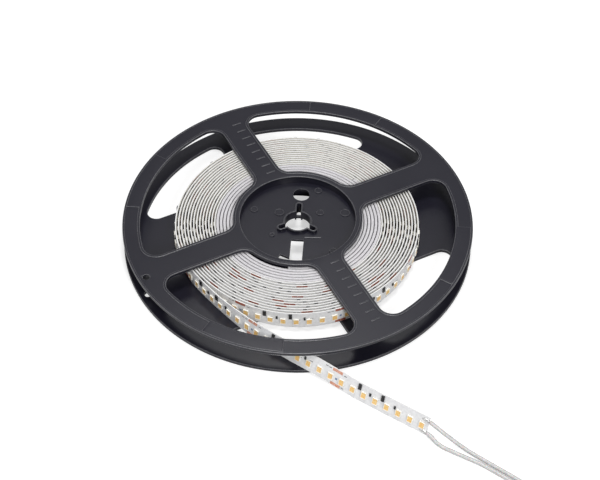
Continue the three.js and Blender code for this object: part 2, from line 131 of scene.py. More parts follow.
sleeve, sleeve_tree, sleeve_bsdf = shader(
    "lead_sleeve", (0.55, 0.55, 0.545), 0.3, Subsurface_Weight=0.15, Subsurface_Scale=0.002
)
sleeve_noise = grain(sleeve_tree, sleeve_bsdf, 900, 0.00006, 0.25)
tint(sleeve_tree, sleeve_bsdf, sleeve_noise, (0.50, 0.50, 0.495), (0.60, 0.60, 0.595))
tinned, tinned_tree, tinned_bsdf = shader("tinned_copper", (0.62, 0.61, 0.59), 0.3, Metallic=1)
grain(tinned_tree, tinned_bsdf, 1800, 0.0002, 0.6)

# Both run from their solder joint down to the floor, and along it to the coil.
upper_start = [
    (61.8, -124.2, 8.5), (64.2, -125.6, 7.3), (67.4, -127.5, 5.6), (71.5, -129.9, 3.7),
    (76.1, -132.8, 2.0), (80, -135.5, 1.2), (84.6, -138.7, 1), (90.6, -143, 1), (97.6, -148, 1),
    (102, -151.2, 1), (106.1, -154.1, 1), (109.2, -156.35, 1), (112.1, -158.4, 1),
]
lower_start = [
    (60.8, -125.8, 2.1), (62.6, -127.6, 1.7), (64.5, -129.9, 1.25), (67.1, -132.3, 1),
    (72.2, -135.3, 1), (79.5, -139.2, 1), (85, -142.2, 1), (89.3, -145.1, 1), (96.3, -150.1, 1),
    (100, -152.75, 1), (103, -154.9, 1), (107, -157.6, 1), (110.8, -160.2, 1),
]


def lead(name, route, node):
    """A round sleeve along a route."""
    curve = bpy.data.curves.new(name, "CURVE")
    curve.dimensions = "3D"
    curve.bevel_depth = lead_diameter / 2 / 1000
    curve.bevel_resolution = 4
    curve.resolution_u = 6
    curve.use_fill_caps = True
    spline = curve.splines.new("BEZIER")
    spline.bezier_points.add(len(route) - 1)
    for knot, point in zip(spline.bezier_points, route):
        knot.co = to_row @ point
        knot.handle_left_type = knot.handle_right_type = "AUTO"
    curve.materials.append(sleeve)
    piece = bpy.data.objects.new(name, curve)
    bpy.context.collection.objects.link(piece)
    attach(piece, "root")
    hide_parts(*node)
    return piece


def as_mesh(bm, name):
    """Turns a finished drawing into a mesh."""
    mesh = bpy.data.meshes.new(name)
    bm.to_mesh(mesh)
    bm.free()
    return mesh


upper_route = coiled_route(upper_start, 10.88, 1.29, 0.84)
lower_route = coiled_route(lower_start, 8.66, 1.62, 0.9)
upper_lead = lead("upper_lead", upper_route, ["lead_upper", "lead_coil"])
lower_lead = lead("lower_lead", lower_route, ["lead_lower"])
for piece, route in ((upper_lead, upper_route), (lower_lead, lower_route)):
    run = (route[-1] - route[-2]).normalized()
    tip = bmesh.new()
    bmesh.ops.create_cone(
        tip, segments=16, radius1=tip_radius, radius2=tip_end_radius, depth=tip_length, cap_ends=True
    )
    facing = run.to_track_quat("Z", "Y").to_matrix().to_4x4()
    tip_place = to_row @ Matrix.Translation(route[-1] + run * tip_reach) @ facing
    bmesh.ops.transform(tip, matrix=tip_place, verts=tip.verts)
    mesh = as_mesh(tip, piece.name + "_end")
    mesh.materials.append(tinned)
    bare_end = bpy.data.objects.new(piece.name + "_end", mesh)
    bpy.context.collection.objects.link(bare_end)
    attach(bare_end, "root")


# Flange sheets: each half of the reel is one moulding in charcoal plastic with a satin face.
# A half's sheet has a raised bead round every window and a low lip round its rim.
# Its outer edges are slightly rounded, and the rounds get a paler colour that is a painted highlight.
flange_radius = 90
sheet_thickness = 1.6
relief = 0.4
rim_lip = 1.1
rim_lip_height = 0.25
hub_bore_radius = 29.8
bead_width = 1.5
spoke_angle = 27.6
window_outer_radius = 81
edge_radius = 0.36
fine_edge_radius = 0.2
sharp_edge_angle = 50
weld_distance = 0.01
rim_steps = 180
hub_steps = 120
anchor_hole_radius = 1.8

moulding, moulding_tree, moulding_bsdf = shader(
    "charcoal_moulding", (0.012, 0.0115, 0.019), 0.31, Specular_IOR_Level=0.5
)
grain(moulding_tree, moulding_bsdf, 1500, 0.00003, 0.35)
cloud = moulding_tree.nodes.new("ShaderNodeTexNoise")
cloud.inputs["Scale"].default_value = 14
cloud.inputs["Detail"].default_value = 4
moulding_coordinates = next(n for n in moulding_tree.nodes if n.bl_idname == "ShaderNodeTexCoord")
moulding_tree.links.new(moulding_coordinates.outputs["Object"], cloud.inputs["Vector"])
tint(moulding_tree, moulding_bsdf, cloud, (0.010, 0.0095, 0.017), (0.014, 0.0135, 0.022))
tint(moulding_tree, moulding_bsdf, cloud, (0.28, 0.28, 0.28), (0.33, 0.33, 0.33), "Roughness")
# Painted highlight: a paler colour on every rounded edge, standing in for the light that the edges catch.
edge_highlight, edge_highlight_tree, edge_highlight_bsdf = shader("painted_edge_highlight", (0.10, 0.10, 0.11), 0.32)
edge_highlight_noise = grain(edge_highlight_tree, edge_highlight_bsdf, 1500, 0.00003, 0.35)
tint(edge_highlight_tree, edge_highlight_bsdf, edge_highlight_noise, (0.06, 0.06, 0.068), (0.125, 0.125, 0.135))


def circle(x, y, radius, steps):
    """A full circle, as a path for outline."""
    return [(x, y, radius, 0, 360, steps)]


def outline(bm, path, z):
    """A closed outline at height z, through corners (x, y) and arcs (x, y, radius, from, to, steps)."""
    old_verts, old_edges = set(bm.verts), set(bm.edges)
    strokes = []
    for x, y, *bend in path:
        radius, start, stop, steps = bend or (0, 0, 0, 0)
        a = math.radians(start)
        first = last = bm.verts.new((x + radius * math.cos(a), y + radius * math.sin(a), z))
        if bend:
            sweep_angle = math.radians(stop - start)
            spun = bmesh.ops.spin(
                bm, geom=[first], cent=(x, y, z), axis=(0, 0, 1), angle=sweep_angle, steps=steps
            )
            last = next(g for g in spun["geom_last"] if isinstance(g, bmesh.types.BMVert))
        strokes.append((first, last))
    for (_, last), (first, _) in zip(strokes, strokes[1:] + strokes[:1]):
        if (last.co - first.co).length > weld_distance:
            bm.edges.new((last, first))
    new_verts = [v for v in bm.verts if v not in old_verts]
    bmesh.ops.remove_doubles(bm, verts=new_verts, dist=weld_distance)
    return [e for e in bm.edges if e not in old_edges]


def drop(bm, edges, depth):
    """Draws a wall straight down from a loop and returns the loop at its foot."""
    made = bmesh.ops.extrude_edge_only(bm, edges=edges)["geom"]
    verts = {g for g in made if isinstance(g, bmesh.types.BMVert)}
    bmesh.ops.translate(bm, verts=list(verts), vec=(0, 0, -depth))
    return [g for g in made if isinstance(g, bmesh.types.BMEdge) and set(g.verts) <= verts]


def fill(bm, edges):
    """Closes a flat region between its outer loop and the loops of its holes."""
    bmesh.ops.triangle_fill(bm, edges=edges, use_beauty=True, normal=(0, 0, 1))


def paint_edge_highlight(bevelled):
    """Gives new rounded edges a paler colour, which is a painted highlight."""
    for face in bevelled["faces"]:
        face.material_index = 1


def soften(bm, radius, among=None):
    """Rounds the outer edges that a mould leaves, and nothing else; the rounds get a painted highlight."""
    edges = [
        e for e in among or bm.edges
        if len(e.link_faces) == 2 and e.is_convex
        and e.calc_face_angle(0) > math.radians(sharp_edge_angle)
    ]
    paint_edge_highlight(bmesh.ops.bevel(
        bm, geom=edges, offset=radius, segments=2, profile=0.5, affect="EDGES", material=-1,
        clamp_overlap=True,
    ))


def add(bm, part):
    """Adds one bmesh to another."""
    mesh = as_mesh(part, "part")
    bm.from_mesh(mesh)
    bpy.data.meshes.remove(mesh)


def place(bm, name, materials, nodes, slot, sharp=35):
    """Puts a piece drawn in millimetres in the row's frame and on the reel."""
    bmesh.ops.transform(bm, matrix=to_row, verts=bm.verts)
    for face in bm.faces:
        face.smooth = True
    mesh = as_mesh(bm, name)
    mesh.set_sharp_from_angle(angle=math.radians(sharp))
    for material in materials:
        mesh.materials.append(material)
    piece = bpy.data.objects.new(name, mesh)
    bpy.context.collection.objects.link(piece)
    if slot == "moulding":
        piece.modifiers.new("flat_faces_stay_flat", "WEIGHTED_NORMAL").keep_sharp = True
    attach(piece, "root")
    if nodes:
        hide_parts(*nodes)
    return piece


def flange(window_pairs, anchor):
    """A flange with its inner face at z = 0 and the tops of its beads at z = 2."""
    bm = bmesh.new()
    top = sheet_thickness + relief
    lip_top = sheet_thickness + rim_lip_height
    face_loops, back_loops = [], []
    for window, bead in window_pairs:
        edge = outline(bm, window, top)
        foot = outline(bm, bead, top)
        bmesh.ops.bridge_loops(bm, edges=edge + foot)
        back_loops += drop(bm, edge, top)
        face_loops += drop(bm, foot, relief)
    rim = outline(bm, circle(0, 0, flange_radius, rim_steps), lip_top)
    lip = outline(bm, circle(0, 0, flange_radius - rim_lip, rim_steps), lip_top)
    bmesh.ops.bridge_loops(bm, edges=rim + lip)
    back_loops += drop(bm, rim, lip_top)
    face_loops += drop(bm, lip, rim_lip_height)
    for hole in (circle(0, 0, hub_bore_radius, hub_steps), anchor):
        mouth = outline(bm, hole, sheet_thickness)
        face_loops += mouth
        back_loops += drop(bm, mouth, sheet_thickness)
    fill(bm, face_loops)
    fill(bm, back_loops)
    bmesh.ops.recalc_face_normals(bm, faces=bm.faces)
    # The rim's lip and the anchor hole, whose mouth was drawn last, have finer edges.
    soften(bm, fine_edge_radius, lip + mouth)
    soften(bm, edge_radius)
    return bm


def polar(radius, angle):
    """X and Y at a radius and an angle in degrees."""
    return radius * math.cos(math.radians(angle)), radius * math.sin(math.radians(angle))


anchor_hole = circle(*polar(85.7, 209.5), anchor_hole_radius, 32)


# Lower half: the same moulding, with a broad band across it and two narrow spokes.
# Its hub ring stands up to meet the upper half, and carries the spigot of the snap joint.
band_half_width = 43
lower_spoke_half_width = 8
lower_fillet = 5
middle = 7.5
half_gap = 0.3
hub_wall = 1.9
spigot_height = 1.2
spigot_wall = 0.8
spigot_chamfer = 0.2
foot_chamfer = 0.4


def lower_window(along, across, grow=0):
    """The window of one quarter, chosen by two signs. Grown, it is the foot of its bead."""
    outer = window_outer_radius + grow
    side = lower_spoke_half_width - grow
    edge = band_half_width - grow
    c = lower_fillet + grow
    reach = outer - c
    tip = math.degrees(math.asin((edge + c) / reach))
    crest = math.degrees(math.acos((side + c) / reach))
    corner = [
        (side + c, edge + c, c, 180, 270, 10),
        (reach * math.cos(math.radians(tip)), edge + c, c, -90, tip, 10),
        (0, 0, outer, tip, crest, 24),
        (side + c, reach * math.sin(math.radians(crest)), c, crest, 180, 10),
    ]
    arcs = []
    for x, y, radius, start, stop, steps in corner:
        if along < 0:
            x, start, stop = -x, 180 - start, 180 - stop
        if across < 0:
            y, start, stop = -y, -start, -stop
        turned = Matrix.Rotation(math.radians(spoke_angle), 2) @ Vector((x, y))
        arcs.append((turned.x, turned.y, radius, start + spoke_angle, stop + spoke_angle, steps))
    return arcs


def ring(bm, profile):
    """Turns a closed profile of (radius, height) points about the reel's axis."""
    verts = [bm.verts.new((r, 0, z)) for r, z in profile]
    edges = [bm.edges.new(pair) for pair in zip(verts, verts[1:] + verts[:1])]
    bmesh.ops.spin(
        bm, geom=verts + edges, cent=(0, 0, 0), axis=(0, 0, 1), angle=2 * math.pi, steps=hub_steps,
        use_merge=True,
    )


quarters = [(1, 1), (-1, 1), (-1, -1), (1, -1)]
lower = flange([(lower_window(*q), lower_window(*q, bead_width)) for q in quarters], anchor_hole)
upside_down = Matrix.Translation((0, 0, sheet_thickness + relief)) @ Matrix.Scale(-1, 4, (0, 0, 1))
bmesh.ops.transform(lower, matrix=upside_down, verts=lower.verts)
bmesh.ops.reverse_faces(lower, faces=lower.faces)
hub = bmesh.new()
wall_top = middle - half_gap / 2
inner, outer = hub_bore_radius, hub_bore_radius + hub_wall
spigot_outer = inner + spigot_wall
spigot_top = middle + spigot_height
ring(hub, [
    (inner, foot_chamfer), (inner + foot_chamfer, 0), (outer - foot_chamfer, 0), (outer, foot_chamfer),
    (outer, wall_top), (spigot_outer, wall_top), (spigot_outer, spigot_top - spigot_chamfer),
    (spigot_outer - spigot_chamfer, spigot_top), (inner, spigot_top),
])
bmesh.ops.recalc_face_normals(hub, faces=hub.faces)
add(lower, hub)
place(lower, "lower_half", [moulding, edge_highlight], ["reel_half_lower"], "moulding")


# Upper half: four narrow spokes, rim pads flush with the beads, and a ruler on two of the spokes.
# The web that closes the hub cup has the arbor hole with its key slots and collar.
window_inner_radius = 33.4
spoke_half_width = 7.6
outer_fillet = 7
inner_fillet = 7.5
reel_height = 15
hub_top = 14.59
snap_gap = 0.3
rim_pad_span = 26.8
rim_pad_edge_radius = 0.3
tick_size = (0.9, 4.9, 0.8)
tick_edge_radius = 0.28
tick_count = 8
first_tick = 36
tick_pitch = 6
tick_offset = 2.4
web_top = 10.1
web_thickness = 1.4
web_edge_radius = 0.15
tail_slot_angle = -3.5
arbor_radius = 6.6
collar_wall = 0.8
collar_height = 2
collar_edge_radius = 0.28
key_half_width = 1.2
key_slots = [(86.5, 12.8), (206.5, 10.9), (326.5, 10.9)]
arbor_foot = 7
pocket_start = 7.3
pocket_foot = 5
pocket_bridge = 1.7
bosses = [
    (-9.6, 7.6, 2.5), (-22.8, 9.6, 2), (11.6, 7.6, 2), (24.6, 7.6, 2.6), (10.6, 23.8, 2),
    (-13.1, -8.5, 1.4), (18.2, -19.5, 2),
]
boss_wall = 0.45
boss_height = 0.5
boss_floor = 0.25
boss_edge_radius = 0.12
rib = [(3.7, -10.7), (11.9, -10.7), (11.9, -9.9), (3.7, -9.9)]
rib_edge_radius = 0.3
sunk = 0.4


def upper_window(angle, grow=0):
    """The window that follows the spoke at an angle. Grown, it is the foot of its bead."""
    outer = window_outer_radius + grow
    inner = window_inner_radius - grow
    side = spoke_half_width - grow
    co = outer_fillet + grow
    ci = inner_fillet + grow
    following = angle + 90
    ao = math.degrees(math.asin((side + co) / (outer - co)))
    ai = math.degrees(math.asin((side + ci) / (inner + ci)))
    return [
        (0, 0, outer, angle + ao, following - ao, 44),
        (*polar(outer - co, following - ao), co, following - ao, angle + 180, 12),
        (*polar(inner + ci, following - ai), ci, angle + 180, following - ai + 180, 12),
        (0, 0, inner, following - ai, angle + ai, 16),
        (*polar(inner + ci, angle + ai), ci, angle + ai + 180, following + 180, 12),
        (*polar(outer - co, angle + ao), co, angle - 90, angle + ao, 12),
    ]


def key_hole(grow=0):
    """The arbor hole and its three key slots as one outline."""
    radius = arbor_radius + grow
    half = key_half_width + grow
    spread = math.degrees(math.asin(half / radius))
    arcs = []
    following_slots = key_slots[1:] + [(key_slots[0][0] + 360, 0)]
    for (angle, reach), (following, _) in zip(key_slots, following_slots):
        arcs.append((*polar(reach - key_half_width, angle), half, angle - 90, angle + 90, 10))
        arcs.append((0, 0, radius, angle + spread, following - spread, 16))
    return arcs


def crown(part, top, edge):
    """Rounds the sharp edges at the top of a boss or a wall, with a painted highlight on the rounds."""
    crest = [
        e for e in part.edges
        if all(abs(v.co.z - top) < 0.001 for v in e.verts)
        and len(e.link_faces) == 2 and e.calc_face_angle(0) > 0.5
    ]
    paint_edge_highlight(bmesh.ops.bevel(
        part, geom=crest, offset=edge, segments=2, profile=0.5, affect="EDGES", material=-1
    ))


def plate(bm, path, top, bottom, edge=0.0):
    """A flat boss with an outline, sunk in what it stands on."""
    part = bmesh.new()
    mouth = outline(part, path, top)
    foot = drop(part, mouth, top - bottom)
    fill(part, mouth)
    fill(part, foot)
    bmesh.ops.recalc_face_normals(part, faces=part.faces)
    if edge:
        crown(part, top, edge)
    add(bm, part)


def wall(bm, outer, inner, top, bottom, edge):
    """A wall that stands between two outlines."""
    part = bmesh.new()
    crests = [outline(part, outer, top), outline(part, inner, top)]
    feet = [drop(part, loop, top - bottom) for loop in crests]
    fill(part, crests[0] + crests[1])
    fill(part, feet[0] + feet[1])
    bmesh.ops.recalc_face_normals(part, faces=part.faces)
    crown(part, top, edge)
    add(bm, part)


angles = [spoke_angle + 90 * k for k in range(4)]
upper = flange([(upper_window(a), upper_window(a, bead_width)) for a in angles], anchor_hole)
for a in angles:
    first, last = a + 45 - rim_pad_span / 2, a + 45 + rim_pad_span / 2
    plate(upper, [
        (0, 0, flange_radius - rim_lip + 0.1, first, last, 20),
        (0, 0, window_outer_radius + bead_width / 2, last, first, 20),
    ], sheet_thickness + relief - 0.01, sheet_thickness - 0.3, rim_pad_edge_radius)


def block(size):
    """A plain block about the origin."""
    bm = bmesh.new()
    bmesh.ops.create_cube(bm, size=1)
    bmesh.ops.scale(bm, vec=size, verts=bm.verts)
    return bm


for a, side in ((spoke_angle + 90, -1), (spoke_angle + 270, 1)):
    to_spoke = Matrix.Rotation(math.radians(a), 3, "Z")
    for k in range(tick_count):
        tick = block(tick_size)
        # The ticks' rounded edges get the painted highlight too.
        paint_edge_highlight(bmesh.ops.bevel(
            tick, geom=tick.edges[:], offset=tick_edge_radius, segments=2, profile=0.5, affect="EDGES",
            material=-1,
        ))
        spot = (first_tick + tick_pitch * k, side * tick_offset, sheet_thickness - 0.05)
        bmesh.ops.translate(tick, vec=spot, verts=tick.verts)
        bmesh.ops.rotate(tick, cent=(0, 0, 0), matrix=to_spoke, verts=tick.verts)
        add(upper, tick)
bmesh.ops.translate(upper, vec=(0, 0, reel_height - relief - sheet_thickness), verts=upper.verts)

hub = bmesh.new()
wall_bottom = middle + half_gap / 2
rebate = spigot_outer + snap_gap
rebate_top = spigot_top + snap_gap
ring(hub, [
    (rebate, wall_bottom), (outer, wall_bottom), (outer, hub_top - 0.29), (outer - 0.3, hub_top),
    (inner + 0.7, hub_top), (inner + 0.2, hub_top - 0.19), (inner, hub_top - 0.69),
    (inner, rebate_top), (rebate, rebate_top),
])
bmesh.ops.recalc_face_normals(hub, faces=hub.faces)
add(upper, hub)

web = bmesh.new()
slot_turn = Matrix.Rotation(math.radians(tail_slot_angle), 2)
tail_slot = [
    tuple(slot_turn @ Vector(corner)) for corner in (
        (3.85, -28), (3.85, -11.6), (-2.55, -11.6), (-2.55, -24.5), (-7.5, -22.2), (-9.3, -26.6),
        (-2.55, -28),
    )
]
web_edge = circle(0, 0, hub_bore_radius + hub_wall / 2, 96)
sight_hole = circle(1.8, 20.9, 4.3, 36)
sheet_loops, under_loops = [], []
for hole in (web_edge, sight_hole, tail_slot, key_hole(collar_wall / 2)):
    mouth = outline(web, hole, web_top)
    sheet_loops += mouth
    under_loops += drop(web, mouth, web_thickness)
fill(web, sheet_loops)
fill(web, under_loops)
bmesh.ops.recalc_face_normals(web, faces=web.faces)
soften(web, web_edge_radius)
add(upper, web)
collar_top = web_top + collar_height
wall(upper, key_hole(collar_wall), key_hole(), collar_top, arbor_foot, collar_edge_radius)
wall(
    upper, circle(0, 0, arbor_radius + collar_wall, 64), circle(0, 0, arbor_radius, 64),
    arbor_foot + pocket_bridge, arbor_foot, 0.1,
)
for angle, reach in key_slots:
    x, y = polar(reach - key_half_width, angle)
    side = key_half_width + collar_wall
    to_slot = Matrix.Rotation(math.radians(angle), 2)
    legs = [
        tuple(to_slot @ Vector((pocket_start, across)))
        for across in (side, key_half_width, -key_half_width, -side)
    ]
    plate(upper, [
        (x, y, side, angle - 90, angle + 90, 12), legs[0], legs[1],
        (x, y, key_half_width, angle + 90, angle - 90, 10), legs[2], legs[3],
    ], arbor_foot + 0.01, pocket_foot)
for x, y, radius in bosses:
    plate(upper, circle(x, y, radius - 0.2, 28), web_top + boss_floor, web_top - sunk)
    wall(
        upper, circle(x, y, radius, 28), circle(x, y, radius - boss_wall, 28),
        web_top + boss_height, web_top - sunk, boss_edge_radius,
    )
plate(upper, rib, web_top + boss_height, web_top - sunk, rib_edge_radius)
place(upper, "upper_half", [moulding, edge_highlight], ["reel_half_upper"], "moulding")


# Strip: a white coated flexible circuit board, wound on edge with its faces outwards.
# Its free end leaves the roll at the front left, drops to the floor and leans back a little.
strip_width = 10
strip_thickness = 0.4
strip_length = 4600
turn_pitch = 1.55
wrap_base = 2.3
leave_angle = 216.6
unit_length = 50
free_units = 3
free_length = free_units * unit_length - 7.6
straight_heading = 330.5
ease_length = 57.4
swell = 1.3
swell_angle = 268
swell_half_span = 51.4
floor_clearance = 0.3
lean_angle = 17
lean_from, lean_to = 15, 66
bow_depth = 1.1
bow_from = 10
bow_length = 85
board_step = 0.9
free_steps = 70
# The roll starts on the leader, so the leader's sizes are needed here.
leader_thickness = 1.45
leader_pitch = 1.8
leader_turns = 5.4
leader_gap = 0.35
leader_inner = hub_bore_radius + hub_wall + leader_gap + leader_thickness / 2
leader_outer = leader_inner + leader_turns * leader_pitch
roll_inner_radius = leader_outer + (leader_thickness + strip_thickness) / 2 + leader_gap - turn_pitch
roll_outer_radius = math.sqrt(roll_inner_radius**2 + (strip_length - free_length) * turn_pitch / math.pi)


def smooth_between(x, low, high):
    """From 0 at low to 1 at high, with a soft start and end."""
    t = min(1, max(0, (x - low) / (high - low)))
    return t * t * (3 - 2 * t)


def free_frame(distance):
    """Base point, direction across and direction off the face, along the free end."""
    def heading(s):
        bend = (leave_angle + 90 - straight_heading) * math.exp(-s / ease_length)
        return math.radians(straight_heading + bend)
    base = Vector((*polar(roll_outer_radius, leave_angle), 0))
    count = max(1, math.ceil(abs(distance)))
    for k in range(count):
        h = heading((k + 0.5) * distance / count)
        base += Vector((math.cos(h), math.sin(h), 0)) * distance / count
    out = math.hypot(base.x, base.y)
    fallen = smooth_between(out, flange_radius - 1, flange_radius + 21)
    base.z = wrap_base + (floor_clearance - wrap_base) * fallen
    lean = math.radians(lean_angle) * smooth_between(distance, lean_from, lean_to)
    h = heading(distance)
    along = Vector((math.cos(h), math.sin(h), 0))
    left = Vector((-along.y, along.x, 0))
    bowed = min(1, max(0, (distance - bow_from) / bow_length))
    base -= left * bow_depth * math.sin(math.pi * bowed) ** 2
    across = Vector((0, 0, math.cos(lean))) + left * math.sin(lean)
    return base, across, along.cross(across)


def wound_frame(radius, angle):
    """The turns lie looser at the front of the roll, so the outer ones bulge there."""
    off = abs((math.degrees(angle) - swell_angle + 180) % 360 - 180)
    share = max(0, (radius - roll_inner_radius) / (roll_outer_radius - roll_inner_radius))
    if off < swell_half_span:
        radius += swell * share * math.cos(math.radians(90 * off / swell_half_span)) ** 2
    out = Vector((math.cos(angle), math.sin(angle), 0))
    return Vector((0, 0, wrap_base)) + out * radius, Vector((0, 0, 1)), out


def strip_frame(from_end):
    """The free end first, then the turns from the outside in."""
    if from_end <= free_length:
        return free_frame(free_length - from_end)
    radius = math.sqrt(roll_outer_radius**2 - turn_pitch * (from_end - free_length) / math.pi)
    angle = math.radians(leave_angle) - 2 * math.pi * (roll_outer_radius - radius) / turn_pitch
    return wound_frame(radius, angle)


def frame_matrix(spot, across=0.0, off=0.0):
    """X along the strip, Y across it and Z off its face, at a place on it."""
    base, over, face = spot
    matrix = Matrix((over.cross(face), over, face)).transposed().to_4x4()
    matrix.translation = base + over * across + face * off
    return matrix


def sweep(bm, section, spots):
    """Rolls a long grid into a closed section (across, off the face) and carries it through the spots."""
    rows, columns = len(spots) - 1, len(section)
    bmesh.ops.create_grid(bm, x_segments=rows, y_segments=columns, size=0.5)
    matrices = [frame_matrix(spot) for spot in spots]
    for vert in bm.verts:
        row = round((vert.co.x + 0.5) * rows)
        column = round((vert.co.y + 0.5) * columns) % columns
        vert.co = matrices[row] @ Vector((0, *section[column]))
    bmesh.ops.remove_doubles(bm, verts=bm.verts, dist=0.001)
    bmesh.ops.holes_fill(bm, edges=[e for e in bm.edges if e.is_boundary])
    bmesh.ops.recalc_face_normals(bm, faces=bm.faces)


board_white, board_tree, board_bsdf = shader("board_coating", (0.80, 0.80, 0.81), 0.45)
board_noise = grain(board_tree, board_bsdf, 700, 0.00004, 0.3)
tint(board_tree, board_bsdf, board_noise, (0.76, 0.76, 0.77), (0.85, 0.85, 0.86))

half = strip_thickness / 2
board = bmesh.new()
wound_steps = int((strip_length - free_length) / board_step)
distances = [strip_length] + [free_length + board_step * k for k in range(wound_steps, 0, -1)]
distances += [free_length * (1 - k / free_steps) for k in range(free_steps + 1)]
strip_spots = [strip_frame(distance) for distance in distances]
sweep(board, [(0, -half), (0, half), (strip_width, half), (strip_width, -half)], strip_spots)
place(board, "strip_board", [board_white], ["led_strip"], "board")


# Backing tape: adhesive tape with a white paper liner, along the whole back of the board.
# It is a little narrower than the board, and its cut edge shows beside the board's in every turn.
tape_thickness = 0.2
liner, liner_tree, liner_bsdf = shader("tape_liner", (0.80, 0.78, 0.72), 0.55)
liner_noise = grain(liner_tree, liner_bsdf, 800, 0.00005, 0.4)
tint(liner_tree, liner_bsdf, liner_noise, (0.76, 0.74, 0.68), (0.85, 0.83, 0.77))
tape = bmesh.new()
low, high = 0.1, strip_width - 0.05
front, back = 0.01 - half, -half - tape_thickness
sweep(tape, [(low, back), (low, front), (high, front), (high, back)], strip_spots)
place(tape, "backing_tape", [liner], [], "board")


# Leader: a soft off-white foam band, wound on the hub first.
# Its edges are rounded, and its sides are painted dark below the top as painted shade,
# so each turn shows as a pale ridge with a thin dark line beside it.
wound_angle = 2 * math.pi * (roll_outer_radius - roll_inner_radius) / turn_pitch
leader_end = math.radians(leave_angle) - wound_angle - leader_gap / roll_inner_radius
leader_steps_per_turn = 72
shaded_depth = 0.5

foam, foam_tree, foam_bsdf = shader("leader_foam", (0.62, 0.61, 0.63), 0.75, Sheen_Weight=0.1)
foam_noise = grain(foam_tree, foam_bsdf, 1100, 0.00012, 0.5)
tint(foam_tree, foam_bsdf, foam_noise, (0.58, 0.565, 0.585), (0.66, 0.645, 0.665))

# Painted shade: this dark colour stands in for the shade deep between the leader's turns.
shaded, shaded_tree, shaded_bsdf = shader("leader_painted_shade", (0.16, 0.155, 0.17), 0.6)
shaded_noise = grain(shaded_tree, shaded_bsdf, 900, 0.0001, 0.4)
tint(shaded_tree, shaded_bsdf, shaded_noise, (0.12, 0.115, 0.13), (0.20, 0.195, 0.21))

leader = bmesh.new()
steps = round(leader_steps_per_turn * leader_turns)
leader_spots = []
for k in range(steps + 1):
    radius = leader_inner + (leader_outer - leader_inner) * k / steps
    angle = leader_end - 2 * math.pi * (leader_outer - radius) / leader_pitch
    leader_spots.append(wound_frame(radius, angle))
edge = leader_thickness / 2
round_section = [
    (0.3, -edge), (0, -edge + 0.3), (0, edge - 0.3), (0.3, edge), (strip_width - 0.4, edge),
    (strip_width - 0.12, edge - 0.12), (strip_width, edge - 0.4), (strip_width, -edge + 0.4),
    (strip_width - 0.12, -edge + 0.12), (strip_width - 0.4, -edge),
]
sweep(leader, round_section, leader_spots)
# Faces lower than shaded_depth below the top get the painted shade.
for face in leader.faces:
    if face.calc_center_median().z < wrap_base + strip_width - shaded_depth:
        face.material_index = 1
place(leader, "foam_leader", [foam, shaded], ["leader_band"], "foam", 60)


# LEDs: white ceramic-filled packages with a sunk amber phosphor face, in one line along the board.
# There are eight in each cut unit, at an even pitch.
splice_shift = 4.9
led_pitch = 6.25
led_along = 2.8
led_across = 3.5
led_height = 0.7
led_line = 4.4
led_rim = 0.26
led_rim_slope = 0.08
phosphor_depth = 0.12
leds_per_unit = 8
unit_count = strip_length // unit_length
board_face = half + 0.02

package, package_tree, package_bsdf = shader("led_package", (0.92, 0.90, 0.83), 0.4)
grain(package_tree, package_bsdf, 1500, 0.00003, 0.3)
phosphor, phosphor_tree, phosphor_bsdf = shader(
    "phosphor", (0.90, 0.50, 0.13), 0.35, Subsurface_Weight=0.1, Subsurface_Scale=0.001
)
phosphor_noise = grain(phosphor_tree, phosphor_bsdf, 1300, 0.00005, 0.4)
tint(phosphor_tree, phosphor_bsdf, phosphor_noise, (0.88, 0.50, 0.14), (0.95, 0.68, 0.30))


def unit_start(unit):
    """The strip is spliced after its free units, and the parts past the splice stand a little on."""
    return unit * unit_length + (splice_shift if unit >= free_units else 0)


def stamp(bm, mesh, from_end, across):
    """Adds a copy of a small part, with X along the strip, Y across it and Z off its face."""
    count = len(bm.verts)
    bm.from_mesh(mesh)
    bm.verts.ensure_lookup_table()
    matrix = frame_matrix(strip_frame(from_end), across, board_face)
    bmesh.ops.transform(bm, matrix=matrix, verts=bm.verts[count:])


led = block((led_along, led_across, led_height))
bmesh.ops.translate(led, vec=(0, 0, led_height / 2), verts=led.verts)
top = max(led.faces, key=lambda f: f.calc_center_median().z)
bmesh.ops.inset_individual(led, faces=[top], thickness=led_rim, depth=0)
bmesh.ops.inset_individual(led, faces=[top], thickness=led_rim_slope, depth=-phosphor_depth)
top.material_index = 1
led_mesh = as_mesh(led, "led")
free_leds, wound_leds = bmesh.new(), bmesh.new()
for unit in range(unit_count - 1):
    for k in range(leds_per_unit):
        target = free_leds if unit < free_units else wound_leds
        stamp(target, led_mesh, unit_start(unit) + (k + 0.5) * led_pitch, led_line)
place(free_leds, "free_end_leds", [package, phosphor], [f"led_{k + 1}" for k in range(24)], "phosphor", 30)
place(wound_leds, "wound_leds", [package, phosphor], [], "phosphor", 30)


# Resistors: black chips with tinned ends, two sizes, standing across the board beside the LED line.
# Every cut unit has the same four.
chip, chip_tree, chip_bsdf = shader("resistor_chip", (0.012, 0.012, 0.013), 0.4)
grain(chip_tree, chip_bsdf, 1500, 0.00004, 0.4)
dull_tin, dull_tree, dull_bsdf = shader("resistor_ends", (0.035, 0.035, 0.036), 0.5)
grain(dull_tree, dull_bsdf, 1500, 0.00004, 0.4)
resistor_kinds = [
    {"along": 1.6, "across": 3.2, "height": 0.6, "offset": 3.6, "at": (12.9, 25.4)},
    {"along": 0.9, "across": 1.6, "height": 0.5, "offset": 2, "at": (18.8, 32.2)},
]
resistor_end = 0.42


